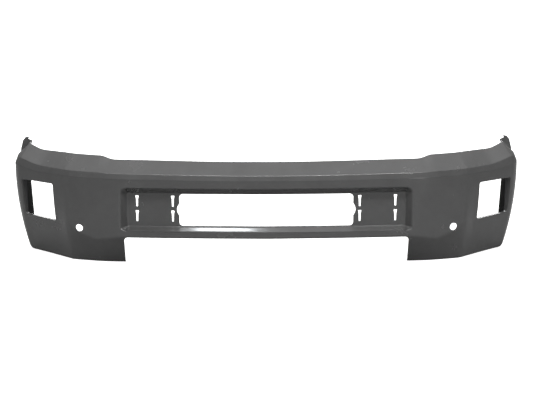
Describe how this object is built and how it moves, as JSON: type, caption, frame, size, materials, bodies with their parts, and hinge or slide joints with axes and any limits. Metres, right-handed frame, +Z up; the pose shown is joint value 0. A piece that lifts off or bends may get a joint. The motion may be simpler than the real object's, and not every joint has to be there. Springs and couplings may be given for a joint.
{
  "type": "vehicle front bumper face bar",
  "caption": "Pressed steel front bumper face bar for a full-size pickup, with a centre air opening, lamp openings and welded mounting brackets behind it.",
  "frame": {"origin": "under the middle of the bar's box, at the height of the wings' lower edges", "axes": "+X to the vehicle's left along the bar, -Y forward, +Z up"},
  "size_m": [2.021, 0.4118, 0.447],
  "materials": {
    "bar_coat": "even semi-gloss dark grey coat",
    "bracket_coat": "satin dark grey coat",
    "bare_steel": "satin dark grey coat on roll-formed steel",
    "zinc_hardware": "zinc-plated steel"
  },
  "bodies": {
    "root": {"face_bar": "bar_coat", "upper_rail": "bare_steel", "lower_rail": "bare_steel", "frame_bracket_left": "bracket_coat", "frame_bracket_right": "bracket_coat", "bracket_gusset_left": "bracket_coat", "bracket_gusset_right": "bracket_coat", "wing_strut_left": "bracket_coat", "wing_strut_right": "bracket_coat", "lamp_frame_left": "bracket_coat", "lamp_frame_right": "bracket_coat", "lamp_frame_studs": "zinc_hardware", "sensor_ring_left": "bracket_coat", "sensor_ring_right": "bracket_coat", "end_strip_left": "bracket_coat", "end_strip_right": "bracket_coat", "end_plate_left": "bracket_coat", "end_plate_right": "bracket_coat", "end_tab_left": "bracket_coat", "end_tab_right": "bracket_coat", "end_bolts": "zinc_hardware", "end_nuts": "zinc_hardware", "valance_bracket_left": "bracket_coat", "valance_bracket_right": "bracket_coat", "valance_clip_nuts": "zinc_hardware"}
  },
  "joints": []
}
